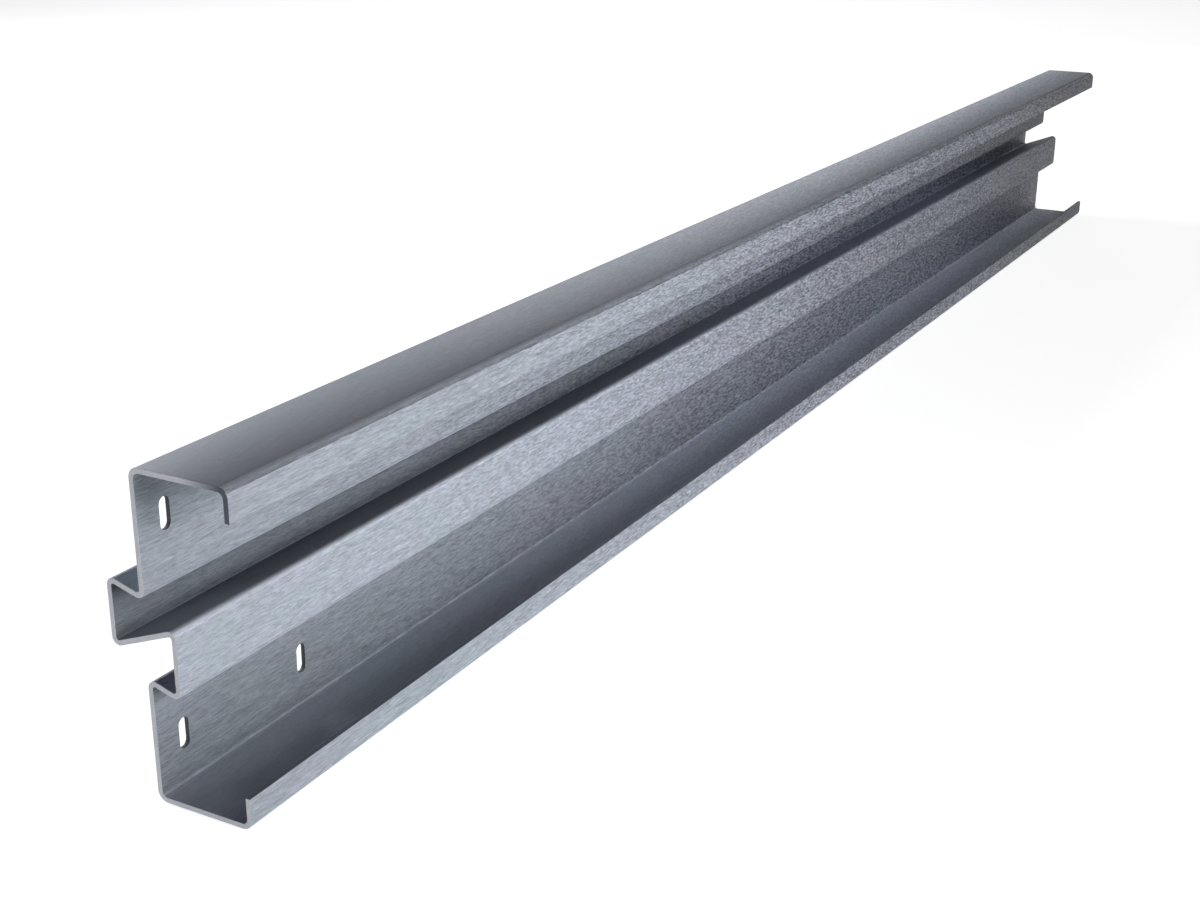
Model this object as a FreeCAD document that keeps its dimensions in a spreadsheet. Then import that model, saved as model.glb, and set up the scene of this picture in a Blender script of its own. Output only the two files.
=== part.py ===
import FreeCAD, Part
import math
import os
from collections import namedtuple

import Sketcher

# Fence post: one strip of galvanised sheet steel, roll formed into a lipped channel.
# Two dovetail ribs run the whole length of its web, one standing back and one standing forward.
# The post lies along X on its lower flange, open towards -Y, with its slotted end at -X.

# Driving sizes in millimetres and degrees, each with what it measures
SIZES = {
    "post_length": (820.0, "end to end"),
    "section_height": (90.0, "outside of one flange to outside of the other"),
    "flange_depth": (30.0, "outside of the web to outside of a lip"),
    "lip_height": (9.0, "outside of a flange to the lip's edge"),
    "sheet": (1.5, "thickness of the strip"),
    "flange_bend": (1.5, "inside radius where flanges meet the web and the lips"),
    "rib_bend": (0.7, "inside radius of the six bends that make the ribs"),
    "back_rib_depth": (10.5, "how far the back rib stands behind the web"),
    "front_rib_depth": (9.0, "how far the front rib stands before the web"),
    "back_rib_height": (17.8, "back rib, fold to fold"),
    "front_rib_height": (17.8, "front rib, fold to fold"),
    "front_rib_foot": (31.0, "underside of the post to the front rib's lower fold"),
    "step_angle": (16.3, "slope of the step between a web and a rib"),
    "ledge_angle": (21.0, "slope of the ledge between the two ribs"),
    "slot_width": (3.6, "upright fixing slot, side to side"),
    "slot_height": (8.7, "upright fixing slot, top to bottom"),
    "slot_edge_distance": (15.0, "outside of a flange to a slot's centre"),
    "slot_end_distance": (9.5, "end of the post to the first slot's centre"),
    "slot_pitch": (47.3, "first slot to second slot along the post"),
}
SLOTS_PER_ROW = 2
SLOT_ROWS = 2

# How far the finished volume may be from the one worked out by hand, in cubic millimetres
VOLUME_TOLERANCE = 1.0

# Legs of the folded strip, in order from the upper lip's edge round to the lower lip's edge
LEGS = [
    "upper_lip", "upper_flange", "upper_web", "upper_step", "back_rib", "ledge",
    "front_rib", "lower_step", "lower_web", "lower_flange", "lower_lip",
]
VERTICAL_LEGS = ["upper_lip", "upper_web", "back_rib", "front_rib", "lower_web", "lower_lip"]
HORIZONTAL_LEGS = ["upper_flange", "lower_flange"]
RIB_LEGS = ["upper_step", "back_rib", "ledge", "front_rib", "lower_step"]

Bend = namedtuple("Bend", "start end centre radius turns_left size_name on_outside")

# Points of a piece of sketch geometry that a constraint can hold, and the sketch's own origin
START, END, CENTRE = range(1, 4)
ORIGIN = (-1, START)


def size(name):
    """Value of one driving size."""
    return SIZES[name][0]


def make_sheet(doc):
    """Spreadsheet with one named cell for each driving size."""
    sheet = doc.addObject("Spreadsheet::Sheet", "Sizes")
    for row, (name, (value, meaning)) in enumerate(SIZES.items(), start=1):
        sheet.set(f"A{row}", name)
        sheet.set(f"B{row}", str(value))
        sheet.set(f"C{row}", meaning)
        sheet.setAlias(f"B{row}", name)
    doc.recompute()
    return sheet


def origin_plane(body, role):
    """One of the body's own origin planes."""
    return next(item for item in body.Origin.OriginFeatures if item.Role == role)


def new_sketch(body, name, role):
    """Empty sketch on one of the body's origin planes."""
    sketch = body.newObject("Sketcher::SketchObject", name)
    sketch.AttachmentSupport = [(origin_plane(body, role), "")]
    sketch.MapMode = "FlatFace"
    return sketch


def bind(sketch, name, expression, *constraint):
    """Add a dimension, name it and tie it to the driving sizes."""
    index = sketch.addConstraint(Sketcher.Constraint(*constraint))
    sketch.renameConstraint(index, name)
    sketch.setExpression(f"Constraints.{name}", expression)


def fold_corners():
    """Corners (y, z) of the strip's middle line, where the folds would be if they were sharp."""
    half_sheet = size("sheet") / 2
    step_slope = math.tan(math.radians(size("step_angle")))
    ledge_slope = math.tan(math.radians(size("ledge_angle")))

    web_y = (size("flange_depth") - size("back_rib_depth") - size("sheet")) / 2
    lip_y = web_y - size("flange_depth") + size("sheet")
    back_y = web_y + size("back_rib_depth")
    front_y = web_y - size("front_rib_depth")

    top_z = size("section_height") - half_sheet
    front_foot_z = size("front_rib_foot")
    front_top_z = front_foot_z + size("front_rib_height")
    back_foot_z = front_top_z - (back_y - front_y) * ledge_slope
    back_top_z = back_foot_z + size("back_rib_height")
    upper_web_foot_z = back_top_z - size("back_rib_depth") * step_slope
    lower_web_top_z = front_foot_z + size("front_rib_depth") * step_slope

    return [
        (lip_y, size("section_height") - size("lip_height")),
        (lip_y, top_z),
        (web_y, top_z),
        (web_y, upper_web_foot_z),
        (back_y, back_top_z),
        (back_y, back_foot_z),
        (front_y, front_top_z),
        (front_y, front_foot_z),
        (web_y, lower_web_top_z),
        (web_y, half_sheet),
        (lip_y, half_sheet),
        (lip_y, size("lip_height")),
    ]


def draw_middle_line(sketch, corners):
    """Middle line of the strip as construction lines, fixed by the driving sizes."""
    leg = {}
    for name, start, end in zip(LEGS, corners, corners[1:]):
        line = Part.LineSegment(FreeCAD.Vector(*start), FreeCAD.Vector(*end))
        leg[name] = sketch.addGeometry(line, True)
    joints = [
        Sketcher.Constraint("Coincident", leg[name], END, leg[after], START)
        for name, after in zip(LEGS, LEGS[1:])
    ]
    upright = [Sketcher.Constraint("Vertical", leg[name]) for name in VERTICAL_LEGS]
    level = [Sketcher.Constraint("Horizontal", leg[name]) for name in HORIZONTAL_LEGS]
    sketch.addConstraint(joints + upright + level)

    # The two webs lie in one plane, and the section's whole depth is even about the origin
    sketch.addConstraint(
        Sketcher.Constraint("Vertical", leg["upper_web"], END, leg["lower_web"], START))
    web_y = corners[LEGS.index("upper_web")][0]
    bind(
        sketch, "web_place", "(Sizes.flange_depth - Sizes.back_rib_depth - Sizes.sheet) / 2",
        "DistanceX", *ORIGIN, leg["upper_web"], START, web_y,
    )

    def across(name, expression, line, first, last):
        run = abs(corners[LEGS.index(line) + 1][0] - corners[LEGS.index(line)][0])
        bind(sketch, name, expression, "DistanceX", leg[line], first, leg[line], last, run)

    across("upper_flange_run", "Sizes.flange_depth - Sizes.sheet", "upper_flange", START, END)
    across("lower_flange_run", "Sizes.flange_depth - Sizes.sheet", "lower_flange", END, START)
    across("back_rib_run", "Sizes.back_rib_depth", "upper_step", START, END)
    across("front_rib_run", "Sizes.front_rib_depth", "lower_step", START, END)

    def upwards(name, expression, line, first, last):
        rise = abs(corners[LEGS.index(line) + 1][1] - corners[LEGS.index(line)][1])
        bind(sketch, name, expression, "DistanceY", leg[line], first, leg[line], last, rise)

    upwards("upper_lip_rise", "Sizes.lip_height - Sizes.sheet / 2", "upper_lip", START, END)
    upwards("lower_lip_rise", "Sizes.lip_height - Sizes.sheet / 2", "lower_lip", START, END)
    upwards("back_rib_rise", "Sizes.back_rib_height", "back_rib", END, START)
    upwards("front_rib_rise", "Sizes.front_rib_height", "front_rib", END, START)

    def above_ground(name, expression, line, end):
        corner = LEGS.index(line) if end == START else LEGS.index(line) + 1
        bind(sketch, name, expression, "DistanceY", *ORIGIN, leg[line], end, corners[corner][1])

    upper_flange_height = "Sizes.section_height - Sizes.sheet / 2"
    above_ground("upper_flange_place", upper_flange_height, "upper_flange", START)
    above_ground("lower_flange_place", "Sizes.sheet / 2", "lower_flange", START)
    above_ground("front_rib_place", "Sizes.front_rib_foot", "front_rib", END)

    def slope(name, expression, line, angle):
        bind(sketch, name, expression, "Angle", leg[line], angle)

    step_angle = math.radians(size("step_angle"))
    ledge_angle = math.radians(size("ledge_angle"))
    slope("upper_step_slope", "Sizes.step_angle * 1 deg", "upper_step", step_angle)
    slope("ledge_slope", "180 deg - Sizes.ledge_angle * 1 deg", "ledge", math.pi - ledge_angle)
    slope("lower_step_slope", "Sizes.step_angle * 1 deg", "lower_step", step_angle)
    return leg


def bend_size(before, after):
    """Name of the inside radius of the bend between two legs."""
    return "rib_bend" if before in RIB_LEGS or after in RIB_LEGS else "flange_bend"


def find_bends(points, along, outward, side):
    """Arc of each bend on one face of the strip: where it begins and ends, and how it turns."""
    offset = size("sheet") / 2
    bends = []
    for number in range(1, len(LEGS)):
        way_in, way_out = along[number - 1], along[number]
        turn = way_in.cross(way_out).z
        on_outside = turn * side < 0
        size_name = bend_size(LEGS[number - 1], LEGS[number])
        radius = size(size_name) + (size("sheet") if on_outside else 0)
        middle = (outward[number - 1] + outward[number]).normalize()
        sharp = points[number] + middle * (offset / middle.dot(outward[number]))
        setback = radius * math.tan(way_in.getAngle(way_out) / 2)
        inward = -middle if on_outside else middle
        bends.append(Bend(
            start=sharp - way_in * setback,
            end=sharp + way_out * setback,
            centre=sharp + inward * math.hypot(radius, setback),
            radius=radius,
            turns_left=turn > 0,
            size_name=size_name,
            on_outside=on_outside,
        ))
    return bends


def draw_bend(sketch, bend, line_in, line_out, radii):
    """Arc tangent to the straight lines before and after it, its radius tied to the driving sizes."""
    circle = Part.Circle(bend.centre, FreeCAD.Vector(0, 0, 1), bend.radius)
    first, last = (bend.start, bend.end) if bend.turns_left else (bend.end, bend.start)
    arc = sketch.addGeometry(Part.ArcOfCircle(circle, circle.parameter(first), circle.parameter(last)))
    enter, leave = (START, END) if bend.turns_left else (END, START)
    sketch.addConstraint([
        Sketcher.Constraint("Tangent", line_in, END, arc, enter),
        Sketcher.Constraint("Tangent", arc, leave, line_out, START),
    ])
    kind = f"{bend.size_name}_outside" if bend.on_outside else f"{bend.size_name}_inside"
    if kind in radii:
        sketch.addConstraint(Sketcher.Constraint("Equal", radii[kind], arc))
        return
    expression = f"Sizes.{bend.size_name} + Sizes.sheet" if bend.on_outside else f"Sizes.{bend.size_name}"
    bind(sketch, kind, expression, "Radius", arc, bend.radius)
    radii[kind] = arc


def draw_skin(sketch, corners, leg, side, radii):
    """One face of the strip: a line beside each leg and a tangent arc round each bend.

    side is +1 for the outer, back face and -1 for the inner, open face.
    radii keeps the first arc of each radius, to which later arcs are made equal.
    """
    offset = size("sheet") / 2
    points = [FreeCAD.Vector(*corner) for corner in corners]
    along = [(end - start).normalize() for start, end in zip(points, points[1:])]
    outward = [FreeCAD.Vector(-way.y, way.x) * side for way in along]
    bends = find_bends(points, along, outward, side)

    starts = [points[0] + outward[0] * offset] + [bend.end for bend in bends]
    ends = [bend.start for bend in bends] + [points[-1] + outward[-1] * offset]
    lines = [sketch.addGeometry(Part.LineSegment(start, end)) for start, end in zip(starts, ends)]
    face = "outer" if side > 0 else "inner"
    for name, line in zip(LEGS, lines):
        sketch.addConstraint(Sketcher.Constraint("Parallel", line, leg[name]))
        bind(sketch, f"{name}_{face}", "Sizes.sheet / 2", "Distance", line, START, leg[name], offset)
    for bend, line_in, line_out in zip(bends, lines, lines[1:]):
        draw_bend(sketch, bend, line_in, line_out, radii)
    return lines


def draw_cut_edge(sketch, outer, inner, end, leg):
    """Cut edge of a lip, square across the strip at the end of its middle line."""
    start_point = sketch.getPoint(outer, end)
    end_point = sketch.getPoint(inner, end)
    edge = sketch.addGeometry(Part.LineSegment(start_point, end_point))
    sketch.addConstraint([
        Sketcher.Constraint("Coincident", outer, end, edge, START),
        Sketcher.Constraint("Coincident", inner, end, edge, END),
        Sketcher.Constraint("Horizontal", edge),
        Sketcher.Constraint("PointOnObject", leg, end, edge),
    ])


def draw_section(body):
    """Folded section of the strip, a closed outline with tangent arcs at its ten bends."""
    sketch = new_sketch(body, "Section", "YZ_Plane")
    corners = fold_corners()
    leg = draw_middle_line(sketch, corners)
    radii = {}
    outer = draw_skin(sketch, corners, leg, +1, radii)
    inner = draw_skin(sketch, corners, leg, -1, radii)
    draw_cut_edge(sketch, outer[0], inner[0], START, leg["upper_lip"])
    draw_cut_edge(sketch, outer[-1], inner[-1], END, leg["lower_lip"])
    return sketch


def draw_slot(body):
    """Upright fixing slot in the lower web, nearest the end of the post."""
    sketch = new_sketch(body, "SlotOutline", "XZ_Plane")
    radius = size("slot_width") / 2
    reach = size("slot_height") / 2 - radius
    centre_x = size("slot_end_distance") - size("post_length") / 2
    centre_z = size("slot_edge_distance")
    left_x, right_x = centre_x - radius, centre_x + radius
    top_z, bottom_z = centre_z + reach, centre_z - reach

    def half_circle(height, begin, finish):
        circle = Part.Circle(FreeCAD.Vector(centre_x, height), FreeCAD.Vector(0, 0, 1), radius)
        return sketch.addGeometry(Part.ArcOfCircle(circle, begin, finish))

    def side(x, begin, finish):
        line = Part.LineSegment(FreeCAD.Vector(x, begin), FreeCAD.Vector(x, finish))
        return sketch.addGeometry(line)

    top = half_circle(top_z, 0, math.pi)
    bottom = half_circle(bottom_z, math.pi, 2 * math.pi)
    left = side(left_x, top_z, bottom_z)
    right = side(right_x, bottom_z, top_z)
    middle = sketch.addGeometry(Part.Point(FreeCAD.Vector(centre_x, centre_z)), True)
    sketch.addConstraint([
        Sketcher.Constraint("Tangent", top, END, left, START),
        Sketcher.Constraint("Tangent", left, END, bottom, START),
        Sketcher.Constraint("Tangent", bottom, END, right, START),
        Sketcher.Constraint("Tangent", right, END, top, START),
        Sketcher.Constraint("Vertical", left),
        Sketcher.Constraint("Vertical", right),
        Sketcher.Constraint("Symmetric", top, CENTRE, bottom, CENTRE, middle, START),
    ])
    bind(sketch, "half_width", "Sizes.slot_width / 2", "Radius", top, radius)
    bind(
        sketch, "centres", "Sizes.slot_height - Sizes.slot_width",
        "DistanceY", bottom, CENTRE, top, CENTRE, top_z - bottom_z,
    )
    bind(
        sketch, "from_end", "Sizes.post_length / 2 - Sizes.slot_end_distance",
        "DistanceX", middle, START, *ORIGIN, -centre_x,
    )
    bind(
        sketch, "from_edge", "Sizes.slot_edge_distance",
        "DistanceY", *ORIGIN, middle, START, centre_z,
    )
    return sketch


def make_post(doc):
    """The whole post as one body: folded strip, then four slots through its webs."""
    body = doc.addObject("PartDesign::Body", "post")
    body.Label = "post"

    section = draw_section(body)
    doc.recompute()
    strip = body.newObject("PartDesign::Pad", "Strip")
    strip.Profile = section
    strip.SideType = "Symmetric"
    strip.setExpression("Length", "Sizes.post_length")
    section.Visibility = False
    doc.recompute()

    outline = draw_slot(body)
    doc.recompute()
    slot = body.newObject("PartDesign::Pocket", "Slot")
    slot.Profile = outline
    slot.Type = "ThroughAll"
    slot.SideType = "Symmetric"
    doc.recompute()

    slots = body.newObject("PartDesign::MultiTransform", "Slots")
    slots.Originals = [slot]
    along = body.newObject("PartDesign::LinearPattern", "SlotsAlongPost")
    upwards = body.newObject("PartDesign::LinearPattern", "SlotRows")
    along.Direction = (outline, ["H_Axis"])
    along.Occurrences = SLOTS_PER_ROW
    along.setExpression("Length", f"Sizes.slot_pitch * {SLOTS_PER_ROW - 1}")
    upwards.Direction = (outline, ["V_Axis"])
    upwards.Occurrences = SLOT_ROWS
    upwards.setExpression("Length", "Sizes.section_height - 2 * Sizes.slot_edge_distance")
    slots.Transformations = [along, upwards]
    body.Tip = slots
    doc.recompute()
    body.Placement = FreeCAD.Placement()
    return body


def strip_length():
    """Length of the strip's middle line, straight legs and bends."""
    points = [FreeCAD.Vector(*corner) for corner in fold_corners()]
    along = [end - start for start, end in zip(points, points[1:])]
    total = sum(way.Length for way in along)
    for number in range(1, len(LEGS)):
        turn = along[number - 1].getAngle(along[number])
        radius = size(bend_size(LEGS[number - 1], LEGS[number])) + size("sheet") / 2
        total += radius * (turn - 2 * math.tan(turn / 2))
    return total


def expected_volume():
    """Volume of the folded strip less its slots, from the driving sizes alone."""
    radius = size("slot_width") / 2
    slot_area = math.pi * radius**2 + size("slot_width") * (size("slot_height") - size("slot_width"))
    strip_area = strip_length() * size("post_length")
    return (strip_area - slot_area * SLOTS_PER_ROW * SLOT_ROWS) * size("sheet")


def check(doc, body):
    """Stop if a feature failed, the post is not one sound solid or a cut went missing."""
    for item in doc.Objects:
        if "Invalid" in item.State or "Error" in item.State:
            raise RuntimeError(f"{item.Name} failed: {item.State}")
    shape = body.Shape
    if shape.isNull() or not shape.isValid() or len(shape.Solids) != 1:
        raise RuntimeError("the post is not one valid solid")
    if abs(shape.Volume - expected_volume()) > VOLUME_TOLERANCE:
        raise RuntimeError(f"volume {shape.Volume:.1f} is not the expected {expected_volume():.1f}")


doc = FreeCAD.newDocument("FencePost")
make_sheet(doc)
post = make_post(doc)
check(doc, post)

os.makedirs("parts", exist_ok=True)
post.Shape.exportStep(f"parts/{post.Label}.step")
box = post.Shape.BoundBox
print(f"{post.Label} {box.XLength:.2f} x {box.YLength:.2f} x {box.ZLength:.2f} mm")
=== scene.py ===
import math

import bpy
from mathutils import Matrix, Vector

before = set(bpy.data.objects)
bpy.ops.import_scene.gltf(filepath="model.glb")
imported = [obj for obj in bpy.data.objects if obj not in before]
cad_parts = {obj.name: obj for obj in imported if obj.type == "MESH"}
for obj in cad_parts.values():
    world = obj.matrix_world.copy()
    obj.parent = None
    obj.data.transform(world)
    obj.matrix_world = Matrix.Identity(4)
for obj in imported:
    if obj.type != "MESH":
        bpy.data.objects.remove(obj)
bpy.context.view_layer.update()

# Camera, in metres and degrees, with its lens and sensor in millimetres: the viewing angle of
# the photograph
CAMERA_PLACE = (-0.68356, -0.26472, 0.22984)
CAMERA_TURN = (69.9872, -0.3091, -61.3785)
CAMERA_LENS = 50.908
SENSOR_WIDTH = 36.0
NEAREST_SEEN = 0.01

# Lamps: name, where it stands and what it faces in metres, side of the square in metres,
# power in watts and how widely its light spreads in degrees
LAMPS = [
    ("key_lamp", (-0.33, -0.61, 0.19), (-0.31, 0.0, 0.05), 0.3, 0.56, 78.0),
    ("left_lamp", (-1.3, 0.1, 0.15), (-0.4, 0.0, 0.05), 0.5, 3.0, 180.0),
    ("top_lamp", (-0.2, -0.5, 1.2), (0.0, 0.0, 0.05), 0.8, 1.0, 180.0),
    ("back_lamp", (0.0, 1.3, 0.75), (0.0, 0.0, 0.09), 0.8, 18.8, 180.0),
    ("far_lamp", (1.6, 0.9, 0.7), (0.0, 0.0, 0.09), 0.8, 2.2, 180.0),
    ("end_lamp", (1.3, -0.1, 0.35), (0.2, 0.0, 0.0), 0.3, 0.80, 180.0),
    ("front_lamp", (0.1, -0.6, 0.6), (0.1, 0.0, 0.0), 0.3, 0.22, 120.0),
]

# Floor, in metres, with a low wall round it that hides the horizon: its own colour, and its
# white to the eye and in reflections
FLOOR_SIDE = 40.0
FLOOR_WALL = 2.0
FLOOR_GAP = 0.0004
FLOOR_COLOUR = (0.5, 0.5, 0.5)
FLOOR_GLOW = 0.87

# Ranges that the noise is stretched from, so that its marks reach full strength
NOISE_NARROW = (0.35, 0.65)
NOISE_WIDE = (0.3, 0.7)

# Facings, as parts of the surface's direction: where a face starts to count as level and
# counts in full, what looks out of the open side, and what is a wall of a slot
LEVEL_START = 0.5
LEVEL_FULL = 0.9
OPEN_SIDE = -0.3
WALL_FACING = 0.5

# Zinc finish: darkest and lightest tone, and the size of the grain's marks in metres. Fine
# brushing gives way to stronger creases from the slotted end towards the plain end, and the
# relief, the contrast and the tint change along the post with them.
GRAIN_DARK = (0.115, 0.125, 0.147)
GRAIN_LIGHT = (0.76, 0.81, 0.93)
FINE_LENGTH = 0.0050
FINE_WIDTH = 0.0004
GRAIN_WAVINESS = 0.6
CREASE_LENGTH = 0.0044
CREASE_WIDTH = 0.0007
CREASE_WAVINESS = 0.5
CREASE_SOFTNESS = 0.12
CREASE_START = -0.40
CREASE_FULL = 0.0
CREASE_LEAST = 0.15
CREASE_MOST = 0.88
CONTRAST_LEAST = 0.42
CONTRAST_MOST = 1.12
LEVEL_SHARE = 0.35
RELIEF_LENGTH = 0.0038
RELIEF_WIDTH = 0.0010
RELIEF_WAVINESS = 0.8
RELIEF_DEPTH = 0.0006
RELIEF_ON_TOP = 0.25
RELIEF_NEAR = 0.5
SMEAR_LENGTH = 0.016
SMEAR_WIDTH = 0.0025
SMEAR_SHARE = 0.15
TINT_LENGTH = 0.035
TINT_WIDTH = 0.012
TINT_WARM = (1.02, 0.99, 1.01)
TINT_COOL = (0.97, 1.0, 0.99)
TINT_START = -0.36
TINT_FULL = 0.0
TINT_NEAR = (0.965, 1.0, 0.98)
TINT_FAR = (1.01, 1.0, 1.03)
METALLIC = 0.15
ROUGHNESS = 0.5
ROUGHNESS_SWING = 0.06
SPECULAR = 0.25

# Cut ends of the sheet are bright, with painted shade on them at the upper lip and on the walls of
# the slots
CUT_DARK = (0.66, 0.68, 0.75)
CUT_LIGHT = (0.84, 0.86, 0.93)
CUT_PAINTED_SHADE = (0.10, 0.115, 0.14)
CUT_GRAIN = 0.0003
CUT_FACING = 0.7
LIP_FOOT = 0.078
LIP_START = -0.006
LIP_FULL = -0.018

# Slots: how far from the middle of their row and column the punched walls lie, in metres
SLOTS_MIDDLE_X = -0.37685
SLOTS_MIDDLE_Z = 0.045
SLOTS_HALF_PITCH_X = 0.02365
SLOTS_HALF_PITCH_Z = 0.030
SLOT_REACH_X = 0.0021
SLOT_REACH_Z = 0.0047

# Painted light and shade, as shares of brightness won or lost, between places in metres:
# painted highlights on the bends and painted light on the faces that stand forward.
# Places along the post that several faces share
NEAR_END = -0.30
MIDDLE = 0.0
FAR_THIRD = 0.24
# Bends, forward faces and lips: painted highlights on the bends, painted light on the forward faces
# and lips
BEND_START = 0.75
BEND_GAIN = 0.45
FORWARD_START = 0.004
FORWARD_FULL = 0.001
FORWARD_GAIN = 0.28
LIP_FACE = -0.012
LIP_GAIN = 0.06
# Lower web: painted shade, most of all at its foot, but less so towards the plain end
WEB_FACE = 0.006
WEB_TOP = 0.032
WEB_LOSS = 0.10
WEB_START = -0.12
WEB_FULL = 0.12
WEB_GAIN = 0.25
WEB_HEAD = 0.028
WEB_FOOT = 0.008
WEB_FOOT_LOSS = 0.22
WEB_FOOT_FAR = -1.2
# Flanges: painted shade towards their lips, and painted light on the upper one towards the plain
# end
FLANGE_START = 0.004
FLANGE_FULL = -0.019
FLANGE_LOSS = 0.31
FLANGE_NEAR = 1.7
TOP_NEAR_LOSS = 0.05
TOP_FAR_GAIN = 0.13
# Ledge between the ribs: painted shade, but painted light at the slotted end and in the far half
LEDGE_LOW = 0.040
LEDGE_HIGH = 0.052
LEDGE_START = -0.20
LEDGE_FULL = 0.24
LEDGE_LOSS = 0.61
LEDGE_GAIN = 0.40
LEDGE_END_START = -0.41
LEDGE_END_FULL = -0.37
LEDGE_END_GAIN = 0.33
# Back rib: painted light at its foot and towards the plain end, painted shade at its head and near
# the slotted end
RIB_FACE = 0.015
RIB_FOOT = 0.0458
RIB_HEAD = 0.0505
RIB_GAIN = 0.12
RIB_START = -0.15
RIB_FULL = 0.22
RIB_NEAR_LOSS = 0.36
RIB_FAR_GAIN = 0.62
# Inside of the lower flange: painted light beside the web and away from the slotted end, painted
# shade at the slotted end
TROUGH_TOP = 0.01
TROUGH_START = -0.006
TROUGH_FULL = 0.004
TROUGH_NEAR_LOSS = 0.18
TROUGH_MIDDLE_GAIN = 0.18
TROUGH_TILT = 0.75
# Faces of the open side at the plain end: painted shade
PLAIN_END_START = 0.20
PLAIN_END_FULL = 0.36
PLAIN_END_LOSS = 0.68

# Bends towards the open side catch its light from their first few degrees on: facings across
# which this sets in, and how far they turn
BEND_TURN_START = -0.03
BEND_TURN_FULL = -0.25
BEND_TURN = 1.0

# Slight crown across the upper flange, in metres
CROWN_MIDDLE = -0.00525
CROWN_FLOOR = 0.0885
CROWN_CURVATURE = 16.0

# Deburred edges, in metres and degrees
EDGE_ROUNDING = 0.00015
EDGE_SEGMENTS = 2
EDGE_ANGLE = 50.0
FLAT_ANGLE = 0.5
WELD_DISTANCE = 0.000001


def add_node(tree, kind, **settings):
    """New node with its own settings, such as an operation."""
    node = tree.nodes.new(kind)
    for name, value in settings.items():
        setattr(node, name, value)
    return node


def feed(tree, node, values):
    """Sets a node's inputs by name or number: a socket is linked, anything else is a value."""
    for key, value in values.items():
        if isinstance(value, bpy.types.NodeSocket):
            tree.links.new(value, node.inputs[key])
        else:
            node.inputs[key].default_value = value


def calculate(tree, operation, first, second=0.0):
    """Output of a maths node."""
    node = add_node(tree, "ShaderNodeMath", operation=operation)
    feed(tree, node, {0: first, 1: second})
    return node.outputs[0]


def times(tree, first, second):
    """Product of two values."""
    return calculate(tree, "MULTIPLY", first, second)


def plus(tree, first, second):
    """Sum of two values."""
    return calculate(tree, "ADD", first, second)


def above(tree, value, limit):
    """1 where a value is over a limit."""
    return calculate(tree, "GREATER_THAN", value, limit)


def below(tree, value, limit):
    """1 where a value is under a limit."""
    return calculate(tree, "LESS_THAN", value, limit)


def distance(tree, value, middle):
    """How far a value lies from a middle, on either side."""
    return calculate(tree, "ABSOLUTE", calculate(tree, "SUBTRACT", value, middle))


def remap(tree, value, low, high, to_low, to_high):
    """Value moved from one range to another, held inside it."""
    node = add_node(tree, "ShaderNodeMapRange")
    feed(tree, node, {
        "Value": value, "From Min": low, "From Max": high, "To Min": to_low, "To Max": to_high})
    return node.outputs[0]


def level_part(tree, facing_z):
    """1 on faces that look up, 0 on upright ones."""
    return remap(tree, facing_z, LEVEL_START, LEVEL_FULL, 0.0, 1.0)


def blend_colours(tree, share, first, second, how="MIX"):
    """Mix of two colours, or another way of laying the second over the first."""
    node = add_node(tree, "ShaderNodeMix", data_type="RGBA", blend_type=how)
    feed(tree, node, {0: share, 6: first, 7: second})
    return node.outputs[2]


def noise(tree, place, length, width, detail, roughness, waviness=0.0):
    """Noise whose marks have a length along X and a width across it, in metres."""
    stretch = add_node(tree, "ShaderNodeMapping")
    feed(tree, stretch, {"Vector": place, "Scale": (1 / length, 1 / width, 1 / width)})
    texture = add_node(tree, "ShaderNodeTexNoise")
    feed(tree, texture, {
        "Vector": stretch.outputs[0], "Scale": 1.0, "Detail": detail, "Roughness": roughness,
        "Distortion": waviness})
    return texture.outputs[0]


def near(tree, value, middle, half_pitch, reach):
    """1 where a coordinate is within reach of either of two lines, half a pitch from a middle."""
    return below(tree, distance(tree, distance(tree, value, middle), half_pitch), reach)


def new_material(name):
    """Material with its Principled shader."""
    material = bpy.data.materials.new(name)
    material.use_nodes = True
    return material, material.node_tree, material.node_tree.nodes["Principled BSDF"]


def grain(tree, place, x, facing_z):
    """Tone of the zinc's marks: fine brushing, dark creases and longer smears."""
    brushing = noise(tree, place, FINE_LENGTH, FINE_WIDTH, 4.0, 0.75, GRAIN_WAVINESS)
    folds = noise(tree, place, CREASE_LENGTH, CREASE_WIDTH, 1.0, 0.5, CREASE_WAVINESS)
    smear = noise(tree, place, SMEAR_LENGTH, SMEAR_WIDTH, 3.0, 0.55, GRAIN_WAVINESS)
    crease = remap(tree, distance(tree, folds, 0.5), 0.0, CREASE_SOFTNESS, -0.5, 0.5)
    share = remap(tree, x, CREASE_START, CREASE_FULL, CREASE_LEAST, CREASE_MOST)
    fine = times(tree, remap(tree, brushing, *NOISE_NARROW, -0.5, 0.5),
                 calculate(tree, "SUBTRACT", 1.0, share))
    marks = plus(tree, fine, times(tree, crease, share))
    broad = times(tree, remap(tree, smear, *NOISE_WIDE, -0.5, 0.5), SMEAR_SHARE)
    contrast = times(
        tree, remap(tree, x, CREASE_START, CREASE_FULL, CONTRAST_LEAST, CONTRAST_MOST),
        remap(tree, facing_z, LEVEL_START, LEVEL_FULL, 1.0, LEVEL_SHARE))
    return plus(tree, times(tree, plus(tree, marks, broad), contrast), 0.5)


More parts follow.
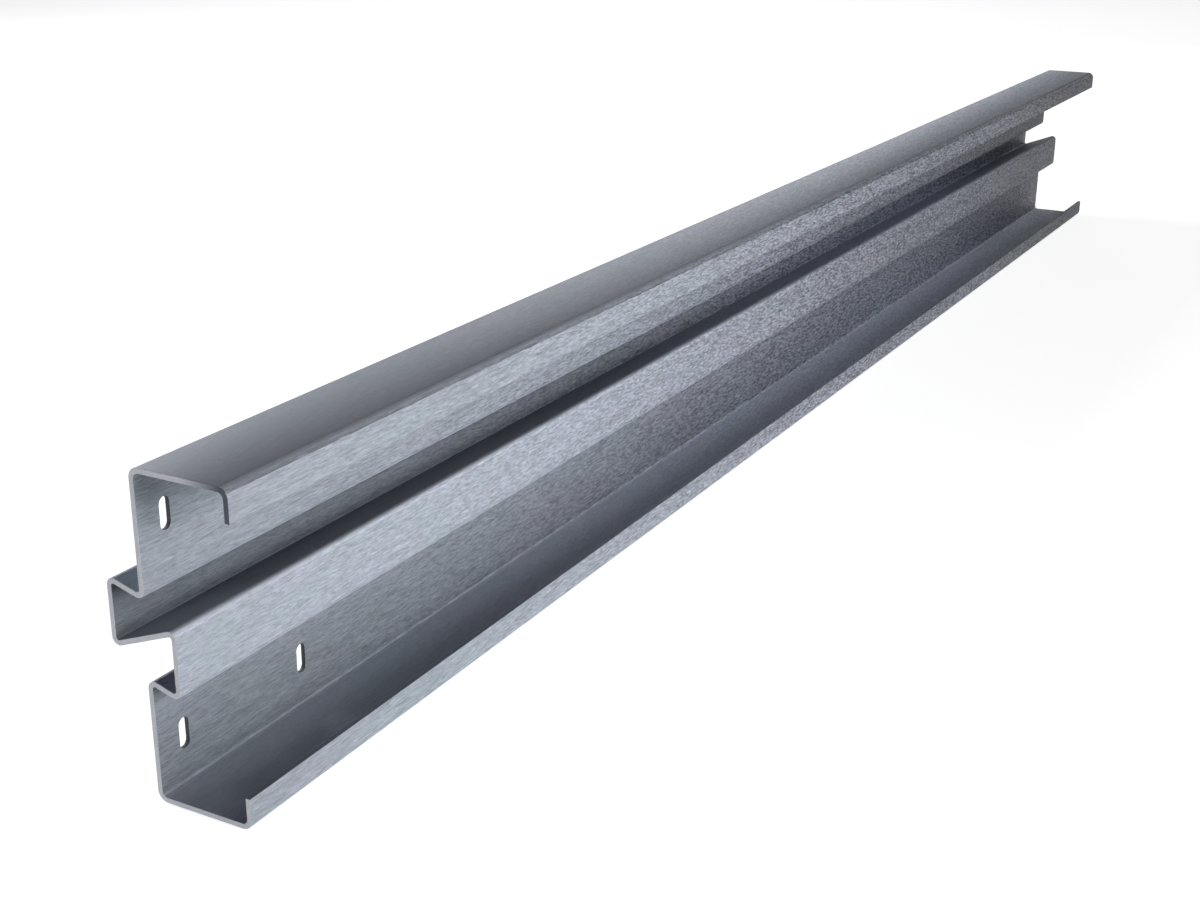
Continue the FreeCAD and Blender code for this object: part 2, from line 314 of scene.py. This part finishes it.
def zinc_colour(tree, place, x, facing_z, tone):
    """Zinc's colour for the tone of its marks, with a faint change of tint along the post."""
    tint = noise(tree, place, TINT_LENGTH, TINT_WIDTH, 2.0, 0.5)
    zinc = blend_colours(tree, tone, (*GRAIN_DARK, 1.0), (*GRAIN_LIGHT, 1.0))
    shade = blend_colours(tree, remap(tree, tint, *NOISE_NARROW, 0.0, 1.0),
                          (*TINT_WARM, 1.0), (*TINT_COOL, 1.0))
    hue = blend_colours(tree, remap(tree, x, TINT_START, TINT_FULL, 0.0, 1.0),
                        (*TINT_NEAR, 1.0), (*TINT_FAR, 1.0))
    hue = blend_colours(tree, level_part(tree, facing_z), hue, (1.0, 1.0, 1.0, 1.0))
    shade = blend_colours(tree, 1.0, shade, hue, "MULTIPLY")
    return blend_colours(tree, 1.0, zinc, shade, "MULTIPLY")


def cut_colour(tree, place, y, z):
    """Colour of the sheared ends: bright, with painted shade at the upper lip."""
    speckle = noise(tree, place, CUT_GRAIN, CUT_GRAIN, 3.0, 0.5)
    bright = blend_colours(tree, remap(tree, speckle, *NOISE_WIDE, 0.0, 1.0),
                           (*CUT_DARK, 1.0), (*CUT_LIGHT, 1.0))
    # Painted shade on the cut ends at the upper lip
    lip_shade = times(tree, above(tree, z, LIP_FOOT), remap(tree, y, LIP_START, LIP_FULL, 0.0, 1.0))
    return blend_colours(tree, lip_shade, bright, (*CUT_PAINTED_SHADE, 1.0))


def upright_light_and_shade(tree, x, y, z, facing_y):
    """Painted light and shade on the faces that look out of the open side."""
    forward = plus(tree, remap(tree, y, FORWARD_START, FORWARD_FULL, 0.0, FORWARD_GAIN),
                   times(tree, below(tree, y, LIP_FACE), LIP_GAIN - FORWARD_GAIN))
    far_web = remap(tree, x, WEB_START, WEB_FULL, 0.0, WEB_GAIN)
    foot = times(tree, remap(tree, z, WEB_HEAD, WEB_FOOT, 0.0, -WEB_FOOT_LOSS),
                 remap(tree, x, MIDDLE, FAR_THIRD, 1.0, WEB_FOOT_FAR))
    on_web = times(tree, above(tree, y, WEB_FACE), below(tree, y, RIB_FACE))
    on_web = times(tree, on_web, below(tree, z, WEB_TOP))
    web = times(tree, on_web, plus(tree, plus(tree, far_web, foot), -WEB_LOSS))
    rib = plus(tree, remap(tree, z, RIB_HEAD, RIB_FOOT, -RIB_GAIN, RIB_GAIN),
               remap(tree, x, RIB_START, RIB_FULL, -RIB_NEAR_LOSS, RIB_FAR_GAIN))
    rib = times(tree, above(tree, y, RIB_FACE), rib)
    plain_end = remap(tree, x, PLAIN_END_START, PLAIN_END_FULL, 0.0, -PLAIN_END_LOSS)
    change = plus(tree, plus(tree, forward, web), plus(tree, rib, plain_end))
    return times(tree, below(tree, facing_y, OPEN_SIDE), change)


def level_light_and_shade(tree, x, y, z, facing_z):
    """Painted light and shade on the flanges and on the ledge between the ribs."""
    flange = times(tree, remap(tree, y, FLANGE_START, FLANGE_FULL, 0.0, -FLANGE_LOSS),
                   remap(tree, x, NEAR_END, MIDDLE, FLANGE_NEAR, 1.0))
    top = times(tree, above(tree, z, CROWN_FLOOR),
                remap(tree, x, NEAR_END, FAR_THIRD, -TOP_NEAR_LOSS, TOP_FAR_GAIN))
    tilt = times(tree, remap(tree, y, TROUGH_START, TROUGH_FULL, 0.0, 1.0),
                 remap(tree, x, NEAR_END, FAR_THIRD, 0.0, TROUGH_TILT))
    trough = plus(
        tree, tilt, remap(tree, x, NEAR_END, MIDDLE, -TROUGH_NEAR_LOSS, TROUGH_MIDDLE_GAIN))
    trough = times(tree, below(tree, z, TROUGH_TOP), trough)
    ledge = remap(tree, x, LEDGE_START, LEDGE_FULL, -LEDGE_LOSS, LEDGE_GAIN)
    plain_end = remap(tree, x, PLAIN_END_START, PLAIN_END_FULL, 0.0, -LEDGE_LOSS)
    slotted_end = remap(tree, x, LEDGE_END_START, LEDGE_END_FULL, LEDGE_END_GAIN, 0.0)
    ledge = plus(tree, plus(tree, ledge, plain_end), slotted_end)
    on_ledge = times(tree, above(tree, z, LEDGE_LOW), below(tree, z, LEDGE_HIGH))
    change = plus(
        tree, plus(tree, flange, top), plus(tree, trough, times(tree, on_ledge, ledge)))
    return times(tree, level_part(tree, facing_z), change)


def painted_light_and_shade(tree, x, y, z, facing_y, facing_z):
    """Share of its brightness that the zinc keeps or gains from painted light and shade, with
    painted highlights on the bends.
    """
    slant = times(tree, calculate(tree, "ABSOLUTE", facing_y),
                  calculate(tree, "ABSOLUTE", facing_z))
    # Painted highlight along the middle of each bend
    bend_highlight = remap(tree, times(tree, slant, 2.0), BEND_START, 1.0, 0.0, BEND_GAIN)
    faces = plus(tree, upright_light_and_shade(tree, x, y, z, facing_y),
                 level_light_and_shade(tree, x, y, z, facing_z))
    return plus(tree, plus(tree, bend_highlight, 1.0), faces)


def slot_walls(tree, x, z, facing_y):
    """1 on the punched walls of the slots."""
    across = near(tree, x, SLOTS_MIDDLE_X, SLOTS_HALF_PITCH_X, SLOT_REACH_X)
    upright = near(tree, z, SLOTS_MIDDLE_Z, SLOTS_HALF_PITCH_Z, SLOT_REACH_Z)
    edge_on = below(tree, calculate(tree, "ABSOLUTE", facing_y), WALL_FACING)
    return times(tree, times(tree, across, upright), edge_on)


def tight_bends(tree, facing):
    """Normal that turns towards the open side early on each bend."""
    facing_x, facing_y, facing_z = facing
    turn = remap(tree, facing_y, BEND_TURN_START, BEND_TURN_FULL, 0.0, BEND_TURN)
    joined = add_node(tree, "ShaderNodeCombineXYZ")
    feed(tree, joined, {0: facing_x, 1: calculate(tree, "SUBTRACT", facing_y, turn), 2: facing_z})
    normal = add_node(tree, "ShaderNodeVectorMath", operation="NORMALIZE")
    feed(tree, normal, {0: joined.outputs[0]})
    return normal.outputs[0]


def surface_normal(tree, place, x, y, z, facing):
    """Normal with the zinc's fine dents, over tight bends and the upper flange's slight crown."""
    on_top = times(tree, above(tree, z, CROWN_FLOOR), level_part(tree, facing[2]))
    off = calculate(tree, "SUBTRACT", y, CROWN_MIDDLE)
    crown = times(tree, times(tree, off, off), -CROWN_CURVATURE / 2)
    crowned = add_node(tree, "ShaderNodeBump")
    feed(tree, crowned, {
        "Strength": 1.0, "Distance": 1.0, "Height": times(tree, crown, on_top),
        "Normal": tight_bends(tree, facing)})
    dents = noise(tree, place, RELIEF_LENGTH, RELIEF_WIDTH, 3.0, 0.6, RELIEF_WAVINESS)
    depth = times(tree, dents, remap(tree, on_top, 0.0, 1.0, 1.0, RELIEF_ON_TOP))
    depth = times(tree, depth, remap(tree, x, CREASE_START, CREASE_FULL, RELIEF_NEAR, 1.0))
    relief = add_node(tree, "ShaderNodeBump")
    feed(tree, relief, {
        "Strength": 1.0, "Distance": RELIEF_DEPTH, "Height": depth,
        "Normal": crowned.outputs[0]})
    return relief.outputs[0]


def galvanised_steel():
    """Zinc-coated sheet with brushed grain, bright cut ends, painted shade on the slot walls and
    the lip's cut ends, and painted light and shade over its faces with painted highlights on the
    bends.
    """
    material, tree, shader = new_material("galvanised_steel")
    where = add_node(tree, "ShaderNodeTexCoord")
    place = where.outputs["Object"]
    at = add_node(tree, "ShaderNodeSeparateXYZ")
    feed(tree, at, {0: place})
    x, y, z = at.outputs
    facing = add_node(tree, "ShaderNodeSeparateXYZ")
    feed(tree, facing, {0: where.outputs["Normal"]})
    facing_x, facing_y, facing_z = facing.outputs

    tone = grain(tree, place, x, facing_z)
    zinc = zinc_colour(tree, place, x, facing_z, tone)
    # Painted light and shade laid over the zinc's colour
    zinc = blend_colours(tree, 1.0, zinc, painted_light_and_shade(tree, x, y, z, facing_y, facing_z), "MULTIPLY")
    end_cut = above(tree, calculate(tree, "ABSOLUTE", facing_x), CUT_FACING)
    colour = blend_colours(tree, end_cut, zinc, cut_colour(tree, place, y, z))
    # Painted shade on the punched walls of the slots
    colour = blend_colours(tree, slot_walls(tree, x, z, facing_y), colour, (*CUT_PAINTED_SHADE, 1.0))
    roughness = remap(
        tree, tone, 0.1, 0.9, ROUGHNESS + ROUGHNESS_SWING, ROUGHNESS - ROUGHNESS_SWING)
    feed(tree, shader, {
        "Base Color": colour,
        "Metallic": METALLIC,
        "Roughness": roughness,
        "Specular IOR Level": SPECULAR,
        "Normal": surface_normal(tree, place, x, y, z, facing.outputs),
    })
    return material


def dress_post():
    """Gives the post its finish, its deburred edges and smooth bends."""
    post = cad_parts["post"]
    post.material_slots[0].material = galvanised_steel()
    weld = post.modifiers.new("one_skin", "WELD")
    weld.merge_threshold = WELD_DISTANCE
    flats = post.modifiers.new("flats", "DECIMATE")
    flats.decimate_type = "DISSOLVE"
    flats.angle_limit = math.radians(FLAT_ANGLE)
    edges = post.modifiers.new("deburred_edges", "BEVEL")
    edges.width = EDGE_ROUNDING
    edges.segments = EDGE_SEGMENTS
    edges.limit_method = "ANGLE"
    edges.angle_limit = math.radians(EDGE_ANGLE)
    edges.use_clamp_overlap = True
    shading = post.modifiers.new("flat_faces_lead", "WEIGHTED_NORMAL")
    shading.keep_sharp = False


def make_camera():
    """Camera at the photograph's viewing angle."""
    data = bpy.data.cameras.new("camera")
    data.sensor_width = SENSOR_WIDTH
    data.lens = CAMERA_LENS
    data.clip_start = NEAREST_SEEN
    data.clip_end = 2 * FLOOR_SIDE
    camera = bpy.data.objects.new("camera", data)
    camera.location = CAMERA_PLACE
    camera.rotation_euler = [math.radians(angle) for angle in CAMERA_TURN]
    bpy.context.scene.collection.objects.link(camera)
    bpy.context.scene.camera = camera


def make_lamp(name, place, target, side, power, spread):
    """Square soft lamp that faces a point."""
    data = bpy.data.lights.new(name, "AREA")
    data.size = side
    data.energy = power
    data.spread = math.radians(spread)
    lamp = bpy.data.objects.new(name, data)
    lamp.location = place
    lamp.rotation_euler = (Vector(target) - Vector(place)).to_track_quat("-Z", "Y").to_euler()
    lamp.visible_camera = False
    bpy.context.scene.collection.objects.link(lamp)


def make_sky():
    """Unlit surroundings: all the light comes from the lamps."""
    world = bpy.data.worlds.new("sky")
    world.use_nodes = True
    feed(world.node_tree, world.node_tree.nodes["Background"], {"Strength": 0.0})
    bpy.context.scene.world = world


def make_floor():
    """Plain pale floor just under the post, walled round, white to the eye and in reflections."""
    half = FLOOR_SIDE / 2
    outline = ((-half, -half), (half, -half), (half, half), (-half, half))
    corners = [(x, y, z) for z in (-FLOOR_GAP, FLOOR_WALL) for x, y in outline]
    walls = [(low, (low + 1) % 4, (low + 1) % 4 + 4, low + 4) for low in range(4)]
    mesh = bpy.data.meshes.new("floor")
    mesh.from_pydata(corners, [], [(0, 1, 2, 3), *walls])
    material, tree, shader = new_material("floor")
    ray = add_node(tree, "ShaderNodeLightPath")
    seen = calculate(tree, "MAXIMUM", ray.outputs["Is Camera Ray"], ray.outputs["Is Glossy Ray"])
    seen = calculate(tree, "MAXIMUM", seen, ray.outputs["Is Transmission Ray"])
    feed(tree, shader, {
        "Base Color": (*FLOOR_COLOUR, 1.0),
        "Roughness": 1.0,
        "Specular IOR Level": 0.0,
        "Emission Color": (1.0, 1.0, 1.0, 1.0),
        "Emission Strength": times(tree, seen, FLOOR_GLOW),
    })
    mesh.materials.append(material)
    floor = bpy.data.objects.new("floor", mesh)
    bpy.context.scene.collection.objects.link(floor)


make_camera()
for lamp in LAMPS:
    make_lamp(*lamp)
make_sky()
make_floor()
dress_post()

bpy.context.scene.view_settings.view_transform = "Standard"
